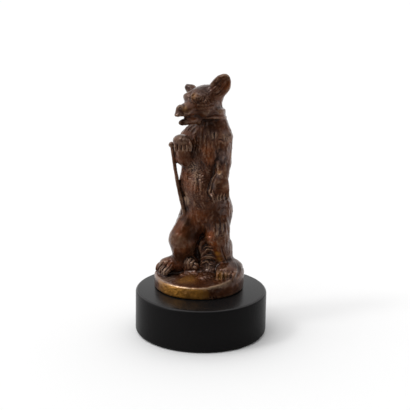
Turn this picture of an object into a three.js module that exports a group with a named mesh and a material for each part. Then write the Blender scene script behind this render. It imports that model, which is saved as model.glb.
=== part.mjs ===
// A small bronze bear on a round black plinth.
// The bear stands upright with its head turned, one paw raised to its chest and a staff in the crook of
// that arm. Bear, collar, staff, ground forms and round terrace are one casting.
// The plinth is a turned disc.
// Millimetres, +Z up. The origin is the centre of the plinth's underside and the viewer stands at -Y.
import * as THREE from 'three';
import { triTable } from 'three/addons/objects/MarchingCubes.js';
import { MeshoptSimplifier } from 'three/addons/libs/meshopt_simplifier.module.js';

// Driving dimensions
const plinthDiameter = 76.2;
const plinthHeight = 25.4;
const plinthTopRound = 2.0;
const plinthFootRound = 2.4;
const plinthSides = 48;
const plinthRoundSteps = 4;

const terraceRadius = 26.3;
const terraceOffset = { x: -1.3, y: 6.1 };
const terraceThin = 7.6;
const terraceThick = 10.2;

const bodyTurn = 25;
const headTurn = 44;
const headLift = -3;
const headTilt = 6;

const staffRadius = 1.05;
const collarRadius = 9.2;
const collarHeight = 5.4;
const collarTilt = 9;

const clayCell = 0.75;
const clayReach = 6;
const bearTriangles = 8950;

const at = (x, y, z) => new THREE.Vector3(x, y, z);
const radians = THREE.MathUtils.degToRad;

// Three directions of a part of the body: its own left side, its front and up.
function bearing(turn, lift = 0, tilt = 0) {
  const front = at(-Math.sin(radians(turn)), -Math.cos(radians(turn)), 0);
  const side = at(-front.y, front.x, 0);
  const up = at(0, 0, 1);
  for (const v of [front, up]) v.applyAxisAngle(side, radians(-lift));
  for (const v of [side, up]) v.applyAxisAngle(front, radians(tilt));
  return { side, front, up };
}

const body = bearing(bodyTurn);
const head = bearing(headTurn, headLift, headTilt);

// A point given by how far it lies to the side, to the front and up from a centre.
function along(centre, way, side, front, up) {
  const point = centre.clone().addScaledVector(way.side, side);
  return point.addScaledVector(way.front, front).addScaledVector(way.up, up);
}

// Forms: each one tells the distance to its skin and the box that holds it.
function egg(centre, side, front, up, way = body) {
  const reach = Math.max(side, front, up);
  return {
    low: centre.clone().addScalar(-reach),
    high: centre.clone().addScalar(reach),
    distance(x, y, z) {
      const qx = x - centre.x;
      const qy = y - centre.y;
      const qz = z - centre.z;
      const s = (qx * way.side.x + qy * way.side.y + qz * way.side.z) / side;
      const f = (qx * way.front.x + qy * way.front.y + qz * way.front.z) / front;
      const u = (qx * way.up.x + qy * way.up.y + qz * way.up.z) / up;
      const scaled = Math.hypot(s, f, u);
      const slope = Math.hypot(s / side, f / front, u / up);
      return scaled < 1e-6 ? -Math.min(side, front, up) : scaled * (scaled - 1) / slope;
    },
  };
}

function ball(centre, radius) {
  return egg(centre, radius, radius, radius);
}

function limb(from, to, fromRadius, toRadius) {
  const way = to.clone().sub(from);
  const lengthSquared = way.lengthSq();
  const reach = Math.max(fromRadius, toRadius);
  return {
    low: from.clone().min(to).addScalar(-reach),
    high: from.clone().max(to).addScalar(reach),
    distance(x, y, z) {
      const qx = x - from.x;
      const qy = y - from.y;
      const qz = z - from.z;
      const t = Math.min(1, Math.max(0, (qx * way.x + qy * way.y + qz * way.z) / lengthSquared));
      const gap = Math.hypot(qx - way.x * t, qy - way.y * t, qz - way.z * t);
      return gap - (fromRadius + (toRadius - fromRadius) * t);
    },
  };
}

// A limb that follows a smooth curve through points, with its radius going from one value to another.
function tendril(points, fromRadius, toRadius, steps = 12) {
  const path = new THREE.CatmullRomCurve3(points).getPoints(steps);
  const parts = [];
  for (let i = 0; i < steps; i++) {
    const near = fromRadius + (toRadius - fromRadius) * i / steps;
    const far = fromRadius + (toRadius - fromRadius) * (i + 1) / steps;
    parts.push(limb(path[i], path[i + 1], near, far));
  }
  return together(parts);
}

function together(parts) {
  const low = parts[0].low.clone();
  const high = parts[0].high.clone();
  for (const part of parts) {
    low.min(part.low);
    high.max(part.high);
  }
  return { low, high, distance: (x, y, z) => Math.min(...parts.map((part) => part.distance(x, y, z))) };
}

function without(form, hole) {
  const distance = (x, y, z) => Math.max(form.distance(x, y, z), -hole.distance(x, y, z));
  return { low: form.low, high: form.high, distance };
}

// A band with a rounded square section around an axis.
function band(centre, axis, radius, height, thickness) {
  const reach = radius + thickness + height;
  return {
    low: centre.clone().addScalar(-reach),
    high: centre.clone().addScalar(reach),
    distance(x, y, z) {
      const qx = x - centre.x;
      const qy = y - centre.y;
      const qz = z - centre.z;
      const up = qx * axis.x + qy * axis.y + qz * axis.z;
      const out = Math.sqrt(Math.max(0, qx * qx + qy * qy + qz * qz - up * up)) - radius;
      const round = Math.min(thickness, height) * 0.3;
      const a = Math.abs(out) - thickness / 2 + round;
      const b = Math.abs(up) - height / 2 + round;
      return Math.hypot(Math.max(a, 0), Math.max(b, 0)) + Math.min(Math.max(a, b), 0) - round;
    },
  };
}

// Clay: a block of sampled distances that forms are pressed onto or cut out of.
class Clay {
  constructor(low, high, cell) {
    this.low = low;
    this.cell = cell;
    this.nx = Math.ceil((high.x - low.x) / cell) + 1;
    this.ny = Math.ceil((high.y - low.y) / cell) + 1;
    this.nz = Math.ceil((high.z - low.z) / cell) + 1;
    this.values = new Float32Array(this.nx * this.ny * this.nz).fill(clayReach * 4);
  }

  // Visits each sample within reach of a form.
  work(form, reach, change) {
    const first = form.low.clone().addScalar(-reach).sub(this.low).divideScalar(this.cell).floor();
    const last = form.high.clone().addScalar(reach).sub(this.low).divideScalar(this.cell).ceil();
    const size = at(this.nx - 1, this.ny - 1, this.nz - 1);
    first.clamp(at(0, 0, 0), size);
    last.clamp(at(0, 0, 0), size);
    for (let k = first.z; k <= last.z; k++) {
      for (let j = first.y; j <= last.y; j++) {
        for (let i = first.x; i <= last.x; i++) {
          const q = (k * this.ny + j) * this.nx + i;
          const x = this.low.x + i * this.cell;
          const y = this.low.y + j * this.cell;
          const z = this.low.z + k * this.cell;
          this.values[q] = change(this.values[q], form.distance(x, y, z));
        }
      }
    }
  }

  add(form, blend = 0.4) {
    this.work(form, clayReach, (was, now) => {
      const near = Math.max(blend - Math.abs(was - now), 0);
      return Math.min(was, now) - near * near / (4 * blend);
    });
  }

  cut(form, blend = 0.4) {
    this.work(form, clayReach, (was, now) => {
      const near = Math.max(blend - Math.abs(was + now), 0);
      return Math.max(was, -now) + near * near / (4 * blend);
    });
  }

  at(point) {
    const i = (point.x - this.low.x) / this.cell;
    const j = (point.y - this.low.y) / this.cell;
    const k = (point.z - this.low.z) / this.cell;
    const i0 = Math.min(Math.max(Math.floor(i), 0), this.nx - 2);
    const j0 = Math.min(Math.max(Math.floor(j), 0), this.ny - 2);
    const k0 = Math.min(Math.max(Math.floor(k), 0), this.nz - 2);
    let sum = 0;
    for (let n = 0; n < 8; n++) {
      const a = n & 1;
      const b = (n >> 1) & 1;
      const c = n >> 2;
      const weight = (a ? i - i0 : 1 - i + i0) * (b ? j - j0 : 1 - j + j0) * (c ? k - k0 : 1 - k + k0);
      sum += weight * this.values[((k0 + c) * this.ny + j0 + b) * this.nx + i0 + a];
    }
    return sum;
  }

  // The first point of the skin on the way from an outer point to an inner one.
  skin(outer, inner) {
    const steps = Math.ceil(outer.distanceTo(inner) / (this.cell * 0.5));
    for (let n = 0; n <= steps; n++) {
      const point = outer.clone().lerp(inner, n / steps);
      if (this.at(point) < 0) return point;
    }
    return null;
  }

  // Turns the block into a closed skin of triangles.
  skinGeometry() {
    const steps = [1, this.nx, this.nx * this.ny];
    const corners = [0, steps[0], steps[0] + steps[1], steps[1]];
    for (let n = 0; n < 4; n++) corners.push(corners[n] + steps[2]);
    const around = [[0, 1], [1, 2], [3, 2], [0, 3]];
    const above = around.map(([a, b]) => [a + 4, b + 4]);
    const upright = [0, 1, 2, 3].map((n) => [n, n + 4]);
    const edges = [...around, ...above, ...upright];
    const corner = new Map();
    const positions = [];
    const triangles = [];
    const values = this.values;
    const vertex = (q, [from, to]) => {
      const a = q + corners[from];
      const b = q + corners[to];
      const key = a * 3 + steps.indexOf(b - a);
      if (!corner.has(key)) {
        const share = Math.min(0.97, Math.max(0.03, values[a] / (values[a] - values[b])));
        const i = a % this.nx;
        const j = Math.floor(a / this.nx) % this.ny;
        const k = Math.floor(a / steps[2]);
        const move = [0, 0, 0];
        move[steps.indexOf(b - a)] = share;
        corner.set(key, positions.length / 3);
        positions.push(this.low.x + (i + move[0]) * this.cell);
        positions.push(this.low.y + (j + move[1]) * this.cell);
        positions.push(this.low.z + (k + move[2]) * this.cell);
      }
      return corner.get(key);
    };
    for (let k = 0; k < this.nz - 1; k++) {
      for (let j = 0; j < this.ny - 1; j++) {
        for (let i = 0; i < this.nx - 1; i++) {
          const q = (k * this.ny + j) * this.nx + i;
          let pattern = 0;
          for (let n = 0; n < 8; n++) if (values[q + corners[n]] < 0) pattern |= 1 << n;
          if (pattern === 0 || pattern === 255) continue;
          for (let n = pattern * 16; triTable[n] !== -1; n += 3) {
            const [a, b, c] = [0, 1, 2].map((m) => vertex(q, edges[triTable[n + m]]));
            triangles.push(a, c, b);
          }
        }
      }
    }
    const geometry = new THREE.BufferGeometry();
    geometry.setAttribute('position', new THREE.Float32BufferAttribute(positions, 3));
    geometry.setIndex(triangles);
    return geometry;
  }
}

// An even spread of small differences, the same each time.
function jitter(n) {
  const v = Math.sin(n * 12.9898) * 43758.5453;
  return v - Math.floor(v) - 0.5;
}

// Ground: a round terrace, thicker towards the bear's left foot, with a soft rim.
const ground = plinthHeight + terraceThin;

function terraceTop(x) {
  return plinthHeight + terraceThin + (terraceThick - terraceThin) * THREE.MathUtils.smoothstep(x, -2, 20);
}

function terrace(clay) {
  const { x: cx, y: cy } = terraceOffset;
  const rim = 0.7;
  clay.add({
    low: at(cx - terraceRadius, cy - terraceRadius, plinthHeight),
    high: at(cx + terraceRadius, cy + terraceRadius, plinthHeight + terraceThick),
    distance(x, y, z) {
      const out = Math.hypot(x - cx, y - cy) - terraceRadius + rim;
      const over = z - terraceTop(x) + rim;
      const under = plinthHeight - z;
      const top = Math.hypot(Math.max(out, 0), Math.max(over, 0)) + Math.min(Math.max(out, over), 0) - rim;
      return Math.max(top, under);
    },
  });
}

// Torso, neck and tail
function torso(clay) {
  clay.add(egg(at(2.4, 8.5, 72), 13.4, 12.5, 12.5), 1);
  clay.add(egg(at(0.6, 6.6, 87), 13.6, 12.8, 14), 7);
  clay.add(egg(at(1.4, 7.0, 108), 12.8, 11.6, 13.5), 6);
  clay.add(limb(at(2.4, 7.5, 116), at(3.2, 5.8, 131), 9.6, 7.2), 5);
  clay.add(limb(at(7.0, 5.2, 123.5), at(10.0, 2.8, 116), 6.5, 6.3), 4);
  clay.add(limb(at(-1.0, 8.0, 120), at(-7.2, 9.5, 113), 6.0, 6.0), 4);
  clay.add(limb(at(-8.2, 3.6, 99.5), at(-8.8, 4.2, 88), 3.8, 4.4), 3);
  clay.add(egg(at(8.0, 19.6, 66.5), 2.8, 3.0, 4.6), 3);
}

// Feet: a foot with its toes and claws side by side.
function toes(clay, roots, tips, radius) {
  roots.forEach((root, n) => {
    clay.add(limb(root, root.clone().lerp(tips[n], 0.62), radius, radius * 0.85), 0.8);
    clay.add(limb(root.clone().lerp(tips[n], 0.55), tips[n], radius * 0.62, 0.45), 0.3);
  });
}

function fan(from, to, count) {
  return Array.from({ length: count }, (_, n) => from.clone().lerp(to, n / (count - 1)));
}

function rightLeg(clay) {
  clay.add(limb(at(-2.6, 7.5, 70), at(-11.0, 2.2, 56), 9.2, 7.3), 4);
  clay.add(limb(at(-11.2, 2.4, 54), at(-10.2, 6.4, 41.5), 7.5, 6.0), 4);
  clay.add(limb(at(-9.6, 9.5, 38.6), at(-20.4, 5.8, 37.6), 6.0, 4.6), 3);
  const roots = fan(at(-22.4, 9.0, 37.4), at(-18.6, 1.0, 37.2), 5);
  const tips = fan(at(-27.0, 7.4, 33.8), at(-21.6, -2.6, 33.8), 5);
  toes(clay, roots, tips, 1.8);
}

function leftLeg(clay) {
  clay.add(limb(at(8.6, 6.4, 71), at(8.6, -0.2, 57.5), 8.8, 6.2), 4);
  clay.add(limb(at(8.8, -0.2, 56.5), at(12.6, 4.2, 42.5), 6.2, 5.4), 2.5);
  clay.add(egg(at(12.8, 6.5, 48.5), 5.2, 5.6, 8), 2.5);
  clay.add(egg(at(16.2, 1.6, 37.4), 7.6, 11.2, 5.2, bearing(17)), 2.5);
  const roots = fan(at(10.4, -6.4, 38.2), at(19.2, -6.6, 38.6), 5);
  const tips = fan(at(8.6, -10.2, 33.8), at(17.6, -11.6, 34.0), 5);
  toes(clay, roots, tips, 1.35);
}

// Arms: the right one is bent with its paw hanging at the chest, the left one hangs beside the body.
function rightArm(clay) {
  clay.add(limb(at(-7.2, 9.5, 113), at(-10.4, 1.8, 104.6), 6.0, 4.8), 2.5);
  clay.add(limb(at(-10.8, 0.6, 104.2), at(-11.7, -2.2, 113), 4.7, 4.3), 1.6);
  clay.add(egg(at(-11.9, -4.2, 115.2), 5.9, 4.4, 4.0), 1.0);
  const roots = fan(at(-15.8, -6.0, 114.0), at(-7.4, -8.4, 114.6), 5);
  const tips = fan(at(-15.8, -7.6, 109.2), at(-7.0, -9.4, 110.2), 5);
  toes(clay, roots, tips, 1.05);
}

function leftArm(clay) {
  clay.add(limb(at(10.0, 2.2, 116), at(11.1, 2.4, 101), 6.0, 4.9), 2.0);
  clay.add(limb(at(11.0, 2.0, 101), at(10.8, -3.8, 95), 4.9, 4.0), 2.0);
  clay.add(egg(at(10.2, -5.0, 89), 5.1, 3.2, 7.4, bearing(-5)), 1.2);
  const roots = fan(at(6.0, -6.4, 85.2), at(14.4, -5.4, 87.0), 5);
  const tips = fan(at(6.8, -7.4, 79.4), at(14.4, -6.2, 82.4), 5);
  toes(clay, roots, tips, 1.15);
}

// Head: skull, cheeks and brows, an open muzzle, and two cupped ears.
const skull = at(-0.2, 4.8, 137.2);

function headForms(clay) {
  const spot = (side, front, up) => along(skull, head, side, front, up);
  clay.add(egg(spot(0, -1, 0), 8.5, 9.8, 8.3, head), 3);
  clay.add(egg(spot(0, 5, 1.6), 6.6, 5.4, 5.2, head), 3);
  clay.add(limb(spot(0, 6, -2.8), spot(0, 17, -2.6), 5.4, 3.5), 2.5);
  clay.add(egg(spot(0, 20.1, -3.6), 2.8, 2.5, 2.0, head), 1.2);
  clay.add(egg(spot(0, 19.5, -0.9), 2.5, 2.1, 1.8, head), 0.8);
  clay.add(limb(spot(0, 4, -9.0), spot(0, 19.2, -9.2), 4.0, 1.7), 1.2);
  clay.cut(egg(spot(0, 20.5, -7.0), 5.0, 4.4, 1.2, head), 0.4);
  for (const side of [-1, 1]) {
    clay.add(egg(spot(4.5 * side, 2.8, -3.2), 4.4, 6.4, 5.8, head), 3);
    clay.add(egg(spot(4.0 * side, 8.3, 3.2), 3.0, 2.4, 2.2, head), 1.2);
    clay.add(egg(spot(2.2 * side, 16.6, -4.0), 1.8, 4.0, 1.8, head), 0.8);
    clay.cut(egg(spot(4.4 * side, 14.0, -6.9), 1.7, 4.4, 1.3, head), 0.6);
    clay.cut(egg(spot(5.6 * side, 9.6, 1.4), 1.1, 1.3, 0.9, head), 0.4);
  }
  clay.add(egg(at(-7.6, 0.2, 138.8), 3.5, 3.4, 3.7), 2);
}

function ear(clay, root, tip, open, width, depth) {
  const up = tip.clone().sub(root).normalize();
  const front = open.clone().addScaledVector(up, -open.dot(up)).normalize();
  const side = at(0, 0, 0).crossVectors(up, front);
  const way = { side, front, up };
  const tall = tip.distanceTo(root) / 2;
  const middle = root.clone().lerp(tip, 0.5);
  const shell = egg(middle, width / 2, depth, tall, way);
  const hollow = egg(along(middle, way, 0, depth * 0.9, 0.6), width / 2 - 1.3, depth, tall - 1.6, way);
  clay.add(without(shell, hollow), 0.7);
}

// The near ear is open to the viewer. The far one is seen edge on, with its tip drawn out to one side.
function ears(clay) {
  clay.add(limb(at(3.0, 3.6, 139.5), at(7.4, 2.6, 143.2), 5.0, 4.6), 3);
  ear(clay, at(3.6, 2.8, 139.6), at(13.8, 0.2, 151.5), at(0.2, -0.97, 0.1), 10.6, 3.6);
  clay.add(limb(at(11.2, 2.6, 145.0), at(6.6, 5.0, 137.5), 2.6, 3.3), 2.5);
  clay.add(limb(at(-5.8, 9.6, 139.6), at(-8.6, 11, 142.8), 3.6, 1.8), 1.4);
  clay.add(limb(at(-8.4, 11, 143.0), at(-10.8, 11, 144.1), 1.5, 0.5), 0.6);
}

// Collar: a broad band with a raised rim along its lower edge and a slight one along its upper edge.
function collar(clay) {
  const axis = at(0, Math.sin(radians(collarTilt)), Math.cos(radians(collarTilt)));
  const centre = at(3.2, 6.2, 129.2);
  clay.add(band(centre, axis, collarRadius - 1.6, collarHeight, 3.2), 0.4);
  const lower = centre.clone().addScaledVector(axis, 0.5 - collarHeight / 2);
  const upper = centre.clone().addScaledVector(axis, collarHeight / 2 - 0.5);
  clay.add(band(lower, axis, collarRadius, 1.2, 1.1), 0.3);
  clay.add(band(upper, axis, collarRadius - 0.4, 1.0, 1.0), 0.6);
}

// Staff: from the crook of the right arm down behind the right thigh to the tuft between the feet.
function staff(clay) {
  const upper = [at(-18.0, -0.5, 112), at(-16.6, 0, 103), at(-15.2, 0.6, 94), at(-13.2, 0.6, 83.5)];
  const lower = [at(-10.4, 0.4, 72), at(-6.6, 2.4, 58), at(-5.4, 3.6, 44)];
  clay.add(tendril([...upper, ...lower], staffRadius, staffRadius, 24), 0.5);
  clay.add(ball(at(-18.0, -0.5, 111.6), 1.5), 0.4);
}

// Ridged support between the legs, built of arches that step down towards the viewer, and a leafy tuft.
function groundForms(clay) {
  clay.add(limb(at(3.6, 7.5, 36), at(4.2, 6.5, 52), 7.0, 5.4), 2);
  clay.add(limb(at(-1.0, 11.0, 37), at(0.0, 10.0, 60), 8.0, 6.4), 3);
  const arches = [
    { centre: at(4.2, 1.4, 50.0), radius: 5.2 },
    { centre: at(4.8, 0.2, 44.6), radius: 4.6 },
    { centre: at(4.6, -0.6, 40.0), radius: 4.8 },
    { centre: at(4.4, -1.4, 36.4), radius: 5.0 },
  ];
  for (const { centre, radius } of arches) {
    clay.add(band(centre, at(0, 1, 0), radius, 2.2, 1.7), 0.7);
    clay.add(egg(along(centre, bearing(0), 0, -1.4, 0), radius, 2.0, radius, bearing(0)), 1);
  }
  clay.add(egg(at(4.6, -1.6, 35.4), 4.4, 2.6, 4.6), 1);
  clay.add(egg(at(-5.6, 4.6, 39), 4.6, 3.4, 6.4, bearing(0)), 1);
  for (let n = -2; n <= 2; n++) {
    const tip = at(-5.8 + n * 1.4, 1.6, 45.4 - Math.abs(n) * 1.4);
    clay.add(limb(at(-5.6 + n * 1.7, 0.8, 35.6), tip, 1.5, 0.8), 0.6);
  }
}

// Fur: overlapping pointed locks laid over a limb or the body, row by row down its axis.
// A lock leaves the skin at its root and stands proud at its tip.
const lockLift = 0.45;
const lockTip = 0.4;

function lock(clay, outer, inner, way, radius) {
  const root = clay.skin(outer, inner);
  const end = clay.skin(outer.clone().add(way), inner.clone().add(way));
  if (!root || !end || root.distanceTo(end) > way.length() * 1.5) return null;
  const inward = inner.clone().sub(outer).normalize();
  root.addScaledVector(inward, radius);
  end.addScaledVector(inward, -lockLift);
  return limb(root, end, radius, lockTip);
}

function fur(clay, top, bottom, spread, { reach, rows, perRow, radius, seed }) {
  const [from, to] = spread;
  const step = bottom.clone().sub(top).divideScalar(rows);
  const locks = [];
  for (let n = 0; n < rows * perRow; n++) {
    const row = Math.floor(n / perRow);
    const inner = top.clone().addScaledVector(step, row + 0.7 * jitter(seed + n * 3));
    const place = (n % perRow + 0.5 * (row % 2) + 0.3 * jitter(seed + n * 5)) / perRow;
    const turn = radians(from + (to - from) * place);
    const out = at(Math.sin(turn), -Math.cos(turn), 0);
    const outer = inner.clone().addScaledVector(out, reach);
    const way = step.clone().multiplyScalar(1.25 + 0.5 * jitter(seed + n * 7));
    way.addScaledVector(at(out.y, -out.x, 0), 3 * jitter(seed + n * 11));
    const one = lock(clay, outer, inner, way, radius * (1 + 0.4 * jitter(seed + n * 13)));
    if (one) locks.push(one);
  }
  for (const one of locks) clay.add(one, 0.3);
}

function coat(clay) {
  const trunk = { reach: 24, rows: 8, perRow: 18, radius: 1.7, seed: 3 };
  const leftThigh = { reach: 16, rows: 3, perRow: 6, radius: 1.5, seed: 7 };
  const rightThigh = { reach: 16, rows: 2, perRow: 5, radius: 1.5, seed: 9 };
  fur(clay, at(2.2, 7.5, 124), at(2.2, 7.5, 64), [0, 360], trunk);
  fur(clay, at(9.0, 5, 72), at(9.0, 1, 55), [-40, 130], leftThigh);
  fur(clay, at(-5, 6, 66), at(-11, 3, 50), [-150, -30], rightThigh);
}

function bark(clay) {
  const rough = { reach: 16, rows: 2, perRow: 9, radius: 1.6, seed: 11 };
  fur(clay, at(0, 10, 60), at(-1, 11, 36), [60, 235], rough);
}

function armFur(clay) {
  const sleeve = { reach: 12, rows: 3, perRow: 5, radius: 1.4, seed: 5 };
  fur(clay, at(9.6, 2.4, 121), at(10.8, 2.4, 98), [-20, 150], sleeve);
}

function sculptBear() {
  const clay = new Clay(at(-31, -24, 23.3), at(28, 35, 157), clayCell);
  terrace(clay);
  torso(clay);
  rightLeg(clay);
  leftLeg(clay);
  coat(clay);
  rightArm(clay);
  leftArm(clay);
  armFur(clay);
  headForms(clay);
  ears(clay);
  collar(clay);
  groundForms(clay);
  bark(clay);
  staff(clay);
  return clay.skinGeometry();
}

// Edges of a skin that aren't shared by just two triangles running opposite ways.
function faultyPoints(index) {
  const ways = new Map();
  for (let n = 0; n < index.length; n++) {
    const next = n % 3 === 2 ? n - 2 : n + 1;
    const way = `${index[n]} ${index[next]}`;
    ways.set(way, (ways.get(way) ?? 0) + 1);
  }
  const points = new Set();
  for (const [way, count] of ways) {
    const [a, b] = way.split(' ');
    if (count !== 1 || ways.get(`${b} ${a}`) !== 1) points.add(Number(a)).add(Number(b));
  }
  return points;
}

// Thins the skin where it is smooth, keeps it closed, and lays its underside dead flat on the plinth.
async function thinned(geometry) {
  await MeshoptSimplifier.ready;
  const positions = geometry.getAttribute('position').array;
  const kept = new Uint8Array(positions.length / 3);
  const fine = new Uint32Array(geometry.getIndex().array);
  const none = new Float32Array(kept.length);
  const corners = bearTriangles * 3;
  let index;
  for (let attempt = 1; attempt <= 6; attempt++) {
    [index] = MeshoptSimplifier.simplifyWithAttributes(fine, positions, 3, none, 1, [0], kept, corners, 1);
    const faults = faultyPoints(index);
    if (faults.size === 0) break;
    for (let n = 0; n < kept.length; n++) {
      const point = at(...positions.slice(n * 3, n * 3 + 3));
      for (const fault of faults) {
        const place = at(...positions.slice(fault * 3, fault * 3 + 3));
        if (point.distanceTo(place) < attempt) kept[n] = 1;
      }
    }
  }
  const thin = new THREE.BufferGeometry();
  const order = new Map();
  const places = [];
  const triangles = Array.from(index, (point) => {
    if (!order.has(point)) {
      order.set(point, places.length / 3);
      const [x, y, z] = positions.slice(point * 3, point * 3 + 3);
      places.push(x, y, Math.abs(z - plinthHeight) < 0.05 ? plinthHeight : z);
    }
    return order.get(point);
  });
  thin.setAttribute('position', new THREE.Float32BufferAttribute(places, 3));
  thin.setIndex(triangles);
  return thin;
}

// Plinth: a turned disc with its top and foot edges rounded.
function plinthGeometry() {
  const radius = plinthDiameter / 2;
  const profile = [new THREE.Vector2(0, 0)];
  const corner = (y, round, from) => {
    for (let n = 0; n <= plinthRoundSteps; n++) {
      const turn = from + Math.PI / 2 * n / plinthRoundSteps;
      profile.push(new THREE.Vector2(radius - round + round * Math.cos(turn), y + round * Math.sin(turn)));
    }
  };
  corner(plinthFootRound, plinthFootRound, -Math.PI / 2);
  corner(plinthHeight - plinthTopRound, plinthTopRound, 0);
  profile.push(new THREE.Vector2(0, plinthHeight));
  const disc = new THREE.LatheGeometry(profile, plinthSides);
  disc.rotateX(Math.PI / 2);
  return disc;
}

const bronze = new THREE.MeshStandardMaterial({ color: 0x5a3d2a, roughness: 0.42, metalness: 0.85 });
const satinBlack = new THREE.MeshStandardMaterial({ color: 0x17171a, roughness: 0.45, metalness: 0 });

const bear = new THREE.Mesh(await thinned(sculptBear()), bronze);
bear.name = 'bear';

const plinth = new THREE.Mesh(plinthGeometry(), satinBlack);
plinth.name = 'plinth';

const sculpture = new THREE.Group();
sculpture.add(bear, plinth);

export default sculpture;
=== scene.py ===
import math

import bpy
import numpy as np
from mathutils import Matrix, Vector, noise
from mathutils.kdtree import KDTree


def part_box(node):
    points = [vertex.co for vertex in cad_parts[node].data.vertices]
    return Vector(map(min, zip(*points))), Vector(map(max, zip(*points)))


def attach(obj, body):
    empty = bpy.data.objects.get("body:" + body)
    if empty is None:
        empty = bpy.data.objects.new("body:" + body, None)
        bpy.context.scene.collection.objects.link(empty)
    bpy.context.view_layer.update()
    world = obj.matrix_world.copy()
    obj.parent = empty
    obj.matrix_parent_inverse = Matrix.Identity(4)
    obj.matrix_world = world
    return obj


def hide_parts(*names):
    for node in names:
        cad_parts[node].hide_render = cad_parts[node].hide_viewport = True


mm = 0.001
tiny = 1e-9

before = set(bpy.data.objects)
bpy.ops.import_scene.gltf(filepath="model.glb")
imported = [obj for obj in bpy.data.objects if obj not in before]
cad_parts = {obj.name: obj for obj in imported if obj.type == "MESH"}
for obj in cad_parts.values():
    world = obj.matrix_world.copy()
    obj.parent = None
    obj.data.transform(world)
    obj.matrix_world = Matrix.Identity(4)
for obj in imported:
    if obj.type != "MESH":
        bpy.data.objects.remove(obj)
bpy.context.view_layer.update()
scene = bpy.context.scene


# Handling of pieces

def putDown():
    if bpy.context.object and bpy.context.object.mode != "OBJECT":
        bpy.ops.object.mode_set(mode="OBJECT")
    bpy.ops.object.select_all(action="DESELECT")


def takeUp(*pieces):
    putDown()
    for piece in pieces:
        piece.select_set(True)
    bpy.context.view_layer.objects.active = pieces[0]


def settle(piece):
    takeUp(piece)
    bpy.ops.object.transform_apply(location=True, rotation=True, scale=True)


def finishWith(piece, kind, **settings):
    takeUp(piece)
    modifier = piece.modifiers.new(kind.title(), kind)
    for name, value in settings.items():
        setattr(modifier, name, value)
    bpy.ops.object.modifier_apply(modifier=modifier.name)


def evenOut(piece, grain, rounds):
    finishWith(piece, "REMESH", mode="VOXEL", voxel_size=grain * mm)
    finishWith(piece, "SMOOTH", factor=0.5, iterations=rounds)


def joinTo(piece, others):
    takeUp(piece, *others)
    bpy.ops.object.join()
    return bpy.context.object


def bearing(turn, lift=0, tilt=0):
    # the own left side, the front and the up of a part of the body
    front = Vector((-math.sin(math.radians(turn)), -math.cos(math.radians(turn)), 0))
    side = Vector((-front.y, front.x, 0))
    up = Vector((0, 0, 1))
    lifting = Matrix.Rotation(math.radians(-lift), 3, side)
    front, up = lifting @ front, lifting @ up
    tilting = Matrix.Rotation(math.radians(tilt), 3, front)
    return tilting @ side, front, tilting @ up


upright = bearing(0)


def facing(out, up):
    # the same three directions, for a form that faces out and points up
    up = Vector(up).normalized()
    out = Vector(out)
    front = (out - up * out.dot(up)).normalized()
    return up.cross(front), front, up


def sphere(sides=28, rings=16):
    putDown()
    bpy.ops.mesh.primitive_uv_sphere_add(segments=sides, ring_count=rings, radius=mm)
    return bpy.context.object


def layOut(piece, place, size, way):
    # gives a sphere half its width, depth and height along the three directions, and its place
    turn = Matrix([direction * half for direction, half in zip(way, size)]).transposed().to_4x4()
    piece.matrix_world = Matrix.Translation(Vector(place) * mm) @ turn
    settle(piece)
    return piece


def ball(place, size, way=upright):
    return layOut(sphere(), place, size, way)


def strand(points, radii, steps=6):
    # a rounded strand along a smooth curve, thick or thin as its radii say
    putDown()
    bpy.ops.curve.primitive_bezier_curve_add()
    piece = bpy.context.object
    knots = piece.data.splines[0].bezier_points
    knots.add(len(points) - 2)
    for n, knot in enumerate(knots):
        knot.co = Vector(points[n]) * mm
        knot.radius = radii[min(n, len(radii) - 1)]
        knot.handle_left_type = knot.handle_right_type = "AUTO"
    piece.data.bevel_depth = mm
    piece.data.bevel_resolution = 3
    piece.data.resolution_u = steps
    piece.data.use_fill_caps = True
    bpy.ops.object.convert(target="MESH")
    return bpy.context.object


def between(start, end, share):
    return tuple(a + (b - a) * share for a, b in zip(start, end))


# Handling of a mesh's points, in millimetres

def readAll(rows, name, width, kind):
    values = np.empty(len(rows) * width, kind)
    rows.foreach_get(name, values)
    return values.reshape(-1, width)


def readMesh(piece):
    points = readAll(piece.data.vertices, "co", 3, np.float32) / mm
    normals = readAll(piece.data.vertices, "normal", 3, np.float32)
    return points, normals, readAll(piece.data.edges, "vertices", 2, np.int32)


def writePoints(piece, points):
    piece.data.vertices.foreach_set("co", (points * mm).astype(np.float32).ravel())
    piece.data.update()


def keepReading(piece, name, values):
    attribute = piece.data.attributes.new(name, "FLOAT", "POINT")
    attribute.data.foreach_set("value", values.astype(np.float32))


def treeOf(points):
    tree = KDTree(len(points))
    for n, point in enumerate(points):
        tree.insert(point, n)
    tree.balance()
    return tree


def evened(values, edges, rounds):
    # each point takes the mean of itself and its neighbours, over and over
    count = len(values)
    ends = np.concatenate([edges[:, 0], edges[:, 1]])
    others = np.concatenate([edges[:, 1], edges[:, 0]])
    share = np.bincount(ends, minlength=count) + 1.0
    result = values.reshape(count, -1).astype(float)
    for _ in range(rounds):
        columns = [np.bincount(ends, column[others], count) + column for column in result.T]
        result = np.stack(columns, 1) / share[:, None]
    return result.reshape(values.shape)


def rise(values, start, width):
    # 0 up to the start, then up to 1 over the width
    return np.clip((values - start) / width, 0, 1)


def fall(values, end, width):
    # down from 1 over the width, then 0 from the end on
    return np.clip((end - values) / width, 0, 1)


def lengths(ways):
    # as a column, and never 0
    return np.linalg.norm(ways, axis=1)[:, None] + tiny


def gapTo(points, place):
    return np.linalg.norm(points - np.array(place), axis=1)


def distanceTo(points, start, end):
    # how far the points are from a straight line, and the share of it at which they lie
    way = end - start
    share = np.clip((points - start) @ way / (way @ way), 0, 1)
    return np.linalg.norm(points - start - share[:, None] * way, axis=1), share


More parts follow.
